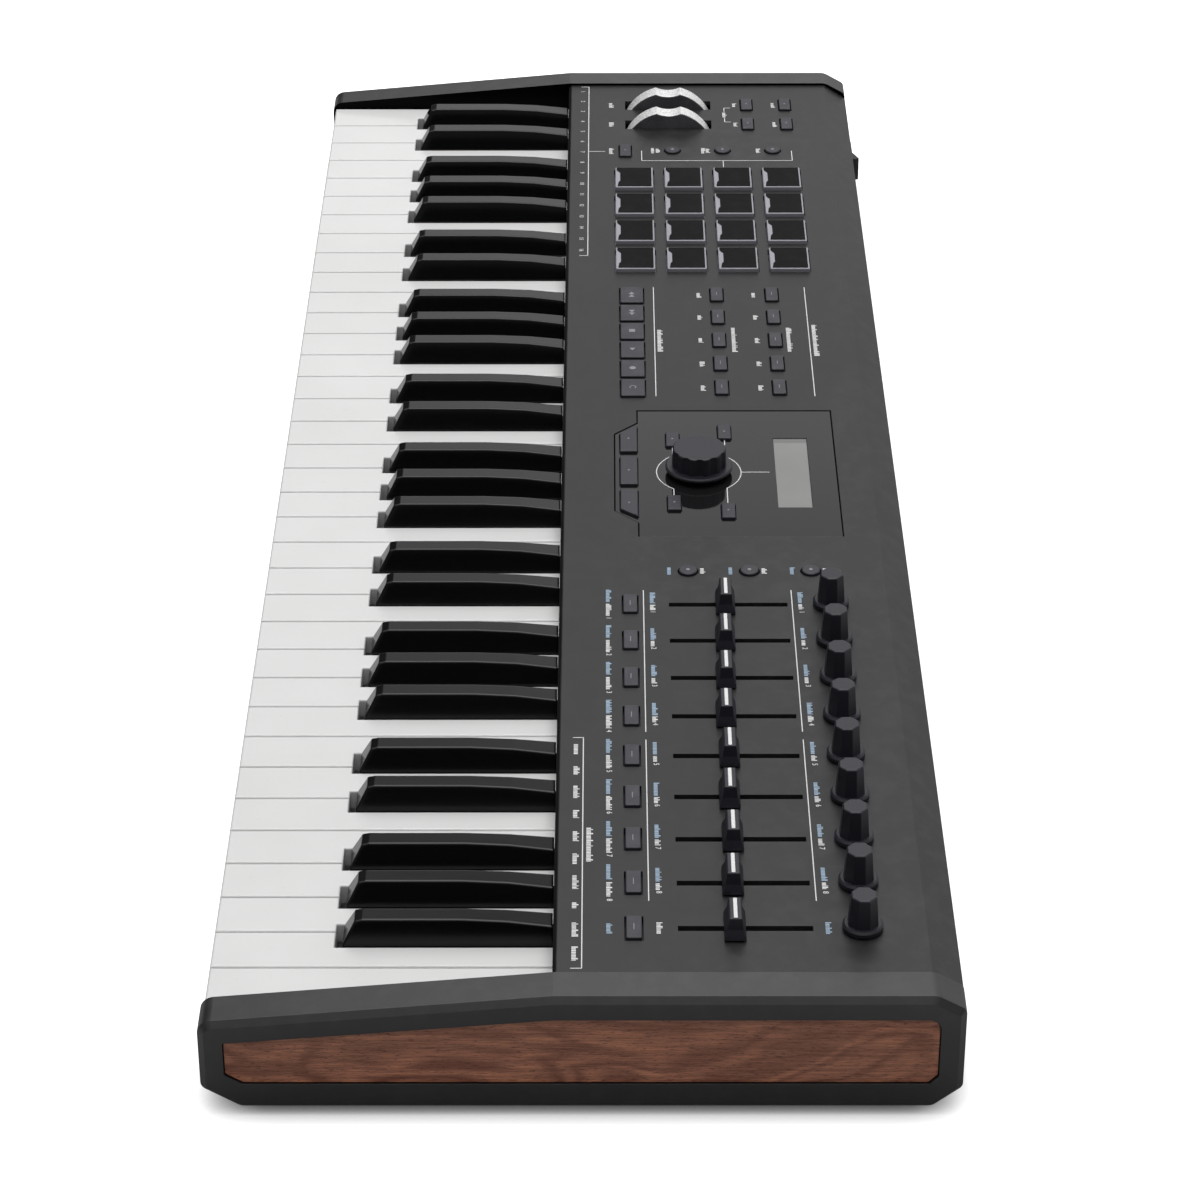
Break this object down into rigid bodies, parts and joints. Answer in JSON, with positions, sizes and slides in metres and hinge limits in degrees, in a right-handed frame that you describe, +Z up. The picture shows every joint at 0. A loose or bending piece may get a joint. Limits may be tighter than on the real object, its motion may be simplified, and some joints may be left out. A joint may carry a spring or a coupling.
{
  "type": "controller keyboard",
  "caption": "Full-width keyboard controller with piano-style keys, performance wheels, drum pads, sliders, dials and wood-trimmed end cheeks.",
  "frame": {"origin": "on the floor under the middle of the case, on the centre foot's underside", "axes": "+X to the player's right along the keys, +Y from the player towards the sockets, +Z up"},
  "size_m": [0.882, 0.3006, 0.0715],
  "materials": {
    "case_plastic": "fine satin moulded plastic",
    "walnut": "oiled walnut veneer",
    "foot_rubber": "matt rubber",
    "steel": "plated steel",
    "gloss_black": "polished black",
    "lens": "clear window over an unlit grey display",
    "silicone": "translucent grey silicone",
    "bracket_plastic": "moulded",
    "circuit_board": "solder mask",
    "socket_plastic": "moulded",
    "white_key": "polished ivory white",
    "black_key": "satin black",
    "wheel_metal": "knurled and machined",
    "pad_rubber": "soft rubber with a paler translucent rim",
    "control_plastic": "soft-touch dark blue-grey"
  },
  "bodies": {
    "case": {"bottom_case": "case_plastic", "top_panel": "case_plastic", "rear_panel": "case_plastic", "left_cheek": "case_plastic", "right_cheek": "case_plastic", "wood_inlays": "walnut", "rubber_feet": "foot_rubber", "case_screws": "steel", "centre_plate": "gloss_black", "display_lens": "lens", "keybed_frame": "steel", "key_pivot_rod": "steel", "key_springs": "steel", "contact_strip": "silicone", "wheel_bracket": "bracket_plastic", "slide_pots": "steel", "rotary_encoders": "steel", "control_board": "circuit_board", "rear_sockets": "socket_plastic"},
    "keys_c": {"keys_c": "white_key"},
    "keys_d": {"keys_d": "white_key"},
    "keys_e": {"keys_e": "white_key"},
    "keys_f": {"keys_f": "white_key"},
    "keys_g": {"keys_g": "white_key"},
    "keys_a": {"keys_a": "white_key"},
    "keys_b": {"keys_b": "white_key"},
    "keys_c_sharp": {"keys_c_sharp": "black_key"},
    "keys_d_sharp": {"keys_d_sharp": "black_key"},
    "keys_f_sharp": {"keys_f_sharp": "black_key"},
    "keys_g_sharp": {"keys_g_sharp": "black_key"},
    "keys_a_sharp": {"keys_a_sharp": "black_key"},
    "pitch_wheel": {"pitch_wheel": "wheel_metal"},
    "mod_wheel": {"mod_wheel": "wheel_metal"},
    "fader_1": {"fader_1": "control_plastic"},
    "fader_2": {"fader_2": "control_plastic"},
    "fader_3": {"fader_3": "control_plastic"},
    "fader_4": {"fader_4": "control_plastic"},
    "fader_5": {"fader_5": "control_plastic"},
    "fader_6": {"fader_6": "control_plastic"},
    "fader_7": {"fader_7": "control_plastic"},
    "fader_8": {"fader_8": "control_plastic"},
    "fader_9": {"fader_9": "control_plastic"},
    "knob_1": {"knob_1": "control_plastic"},
    "knob_2": {"knob_2": "control_plastic"},
    "knob_3": {"knob_3": "control_plastic"},
    "knob_4": {"knob_4": "control_plastic"},
    "knob_5": {"knob_5": "control_plastic"},
    "knob_6": {"knob_6": "control_plastic"},
    "knob_7": {"knob_7": "control_plastic"},
    "knob_8": {"knob_8": "control_plastic"},
    "knob_9": {"knob_9": "control_plastic"},
    "main_dial": {"main_dial": "control_plastic"},
    "drum_pads": {"drum_pads": "pad_rubber"},
    "function_buttons": {"function_buttons": "control_plastic"},
    "round_buttons": {"round_buttons": "control_plastic"},
    "command_buttons": {"command_buttons": "control_plastic"},
    "transport_buttons": {"transport_buttons": "control_plastic"},
    "select_buttons": {"select_buttons": "control_plastic"},
    "menu_buttons": {"menu_buttons": "control_plastic"},
    "power_rocker": {"power_rocker": "socket_plastic"}
  },
  "joints": [
    {"name": "keys_c_dip", "type": "hinge", "parent": "case", "child": "keys_c", "pos_m": [0, 0.009, 0.0365], "axis": [1, 0, 0], "range_deg": [0, 3.6], "stiffness_Nm_per_rad": 1.2, "springref_deg": -5.73},
    {"name": "keys_d_dip", "type": "hinge", "parent": "case", "child": "keys_d", "pos_m": [0, 0.009, 0.0365], "axis": [1, 0, 0], "range_deg": [0, 3.6], "stiffness_Nm_per_rad": 1.2, "springref_deg": -5.73},
    {"name": "keys_e_dip", "type": "hinge", "parent": "case", "child": "keys_e", "pos_m": [0, 0.009, 0.0365], "axis": [1, 0, 0], "range_deg": [0, 3.6], "stiffness_Nm_per_rad": 1.2, "springref_deg": -5.73},
    {"name": "keys_f_dip", "type": "hinge", "parent": "case", "child": "keys_f", "pos_m": [0, 0.009, 0.0365], "axis": [1, 0, 0], "range_deg": [0, 3.6], "stiffness_Nm_per_rad": 1.2, "springref_deg": -5.73},
    {"name": "keys_g_dip", "type": "hinge", "parent": "case", "child": "keys_g", "pos_m": [0, 0.009, 0.0365], "axis": [1, 0, 0], "range_deg": [0, 3.6], "stiffness_Nm_per_rad": 1.2, "springref_deg": -5.73},
    {"name": "keys_a_dip", "type": "hinge", "parent": "case", "child": "keys_a", "pos_m": [0, 0.009, 0.0365], "axis": [1, 0, 0], "range_deg": [0, 3.6], "stiffness_Nm_per_rad": 1.2, "springref_deg": -5.73},
    {"name": "keys_b_dip", "type": "hinge", "parent": "case", "child": "keys_b", "pos_m": [0, 0.009, 0.0365], "axis": [1, 0, 0], "range_deg": [0, 3.6], "stiffness_Nm_per_rad": 1.2, "springref_deg": -5.73},
    {"name": "keys_c_sharp_dip", "type": "hinge", "parent": "case", "child": "keys_c_sharp", "pos_m": [0, 0.009, 0.0365], "axis": [1, 0, 0], "range_deg": [0, 3.6], "stiffness_Nm_per_rad": 1.2, "springref_deg": -5.73},
    {"name": "keys_d_sharp_dip", "type": "hinge", "parent": "case", "child": "keys_d_sharp", "pos_m": [0, 0.009, 0.0365], "axis": [1, 0, 0], "range_deg": [0, 3.6], "stiffness_Nm_per_rad": 1.2, "springref_deg": -5.73},
    {"name": "keys_f_sharp_dip", "type": "hinge", "parent": "case", "child": "keys_f_sharp", "pos_m": [0, 0.009, 0.0365], "axis": [1, 0, 0], "range_deg": [0, 3.6], "stiffness_Nm_per_rad": 1.2, "springref_deg": -5.73},
    {"name": "keys_g_sharp_dip", "type": "hinge", "parent": "case", "child": "keys_g_sharp", "pos_m": [0, 0.009, 0.0365], "axis": [1, 0, 0], "range_deg": [0, 3.6], "stiffness_Nm_per_rad": 1.2, "springref_deg": -5.73},
    {"name": "keys_a_sharp_dip", "type": "hinge", "parent": "case", "child": "keys_a_sharp", "pos_m": [0, 0.009, 0.0365], "axis": [1, 0, 0], "range_deg": [0, 3.6], "stiffness_Nm_per_rad": 1.2, "springref_deg": -5.73},
    {"name": "pitch_wheel_turn", "type": "hinge", "parent": "case", "child": "pitch_wheel", "pos_m": [-0.3951, 0.0451, 0.039], "axis": [-1, 0, 0], "range_deg": [-25, 25], "stiffness_Nm_per_rad": 0.15},
    {"name": "mod_wheel_turn", "type": "hinge", "parent": "case", "child": "mod_wheel", "pos_m": [-0.3686, 0.0451, 0.039], "axis": [-1, 0, 0], "range_deg": [-28, 28]},
    {"name": "fader_1_slide", "type": "slide", "parent": "case", "child": "fader_1", "axis": [0, 1, 0], "range_m": [-0.0212, 0.0238]},
    {"name": "fader_2_slide", "type": "slide", "parent": "case", "child": "fader_2", "axis": [0, 1, 0], "range_m": [-0.0204, 0.0246]},
    {"name": "fader_3_slide", "type": "slide", "parent": "case", "child": "fader_3", "axis": [0, 1, 0], "range_m": [-0.0198, 0.0252]},
    {"name": "fader_4_slide", "type": "slide", "parent": "case", "child": "fader_4", "axis": [0, 1, 0], "range_m": [-0.019, 0.026]},
    {"name": "fader_5_slide", "type": "slide", "parent": "case", "child": "fader_5", "axis": [0, 1, 0], "range_m": [-0.0196, 0.0254]},
    {"name": "fader_6_slide", "type": "slide", "parent": "case", "child": "fader_6", "axis": [0, 1, 0], "range_m": [-0.0188, 0.0262]},
    {"name": "fader_7_slide", "type": "slide", "parent": "case", "child": "fader_7", "axis": [0, 1, 0], "range_m": [-0.0192, 0.0258]},
    {"name": "fader_8_slide", "type": "slide", "parent": "case", "child": "fader_8", "axis": [0, 1, 0], "range_m": [-0.0183, 0.0267]},
    {"name": "fader_9_slide", "type": "slide", "parent": "case", "child": "fader_9", "axis": [0, 1, 0], "range_m": [-0.0183, 0.0267]},
    {"name": "knob_1_turn", "type": "hinge", "parent": "case", "child": "knob_1", "pos_m": [0.1503, 0.1101, 0.0557], "axis": [0, 0, -1], "continuous": true},
    {"name": "knob_2_turn", "type": "hinge", "parent": "case", "child": "knob_2", "pos_m": [0.1807, 0.1101, 0.0557], "axis": [0, 0, -1], "continuous": true},
    {"name": "knob_3_turn", "type": "hinge", "parent": "case", "child": "knob_3", "pos_m": [0.2111, 0.1101, 0.0557], "axis": [0, 0, -1], "continuous": true},
    {"name": "knob_4_turn", "type": "hinge", "parent": "case", "child": "knob_4", "pos_m": [0.2415, 0.1101, 0.0557], "axis": [0, 0, -1], "continuous": true},
    {"name": "knob_5_turn", "type": "hinge", "parent": "case", "child": "knob_5", "pos_m": [0.2719, 0.1101, 0.0557], "axis": [0, 0, -1], "continuous": true},
    {"name": "knob_6_turn", "type": "hinge", "parent": "case", "child": "knob_6", "pos_m": [0.3023, 0.1101, 0.0557], "axis": [0, 0, -1], "continuous": true},
    {"name": "knob_7_turn", "type": "hinge", "parent": "case", "child": "knob_7", "pos_m": [0.3327, 0.1101, 0.0557], "axis": [0, 0, -1], "continuous": true},
    {"name": "knob_8_turn", "type": "hinge", "parent": "case", "child": "knob_8", "pos_m": [0.3631, 0.1101, 0.0557], "axis": [0, 0, -1], "continuous": true},
    {"name": "knob_9_turn", "type": "hinge", "parent": "case", "child": "knob_9", "pos_m": [0.3935, 0.1101, 0.0557], "axis": [0, 0, -1], "continuous": true},
    {"name": "main_dial_turn", "type": "hinge", "parent": "case", "child": "main_dial", "pos_m": [0.0294, 0.0537, 0.0576], "axis": [0, 0, -1], "continuous": true},
    {"name": "drum_pads_press", "type": "slide", "parent": "case", "child": "drum_pads", "axis": [0, 0, -1], "range_m": [0, 0.001], "stiffness_N_per_m": 800},
    {"name": "function_buttons_press", "type": "slide", "parent": "case", "child": "function_buttons", "axis": [0, 0, -1], "range_m": [0, 0.0008], "stiffness_N_per_m": 800},
    {"name": "round_buttons_press", "type": "slide", "parent": "case", "child": "round_buttons", "axis": [0, 0, -1], "range_m": [0, 0.0008], "stiffness_N_per_m": 800},
    {"name": "command_buttons_press", "type": "slide", "parent": "case", "child": "command_buttons", "axis": [0, 0, -1], "range_m": [0, 0.0008], "stiffness_N_per_m": 800},
    {"name": "transport_buttons_press", "type": "slide", "parent": "case", "child": "transport_buttons", "axis": [0, 0, -1], "range_m": [0, 0.0008], "stiffness_N_per_m": 800},
    {"name": "select_buttons_press", "type": "slide", "parent": "case", "child": "select_buttons", "axis": [0, 0, -1], "range_m": [0, 0.0008], "stiffness_N_per_m": 800},
    {"name": "menu_buttons_press", "type": "slide", "parent": "case", "child": "menu_buttons", "axis": [0, 0, -1], "range_m": [0, 0.0008], "stiffness_N_per_m": 800},
    {"name": "power_rocker_tip", "type": "hinge", "parent": "case", "child": "power_rocker", "pos_m": [-0.3695, 0.1478, 0.031], "axis": [0, 0, 1], "range_deg": [-24, 0]}
  ]
}
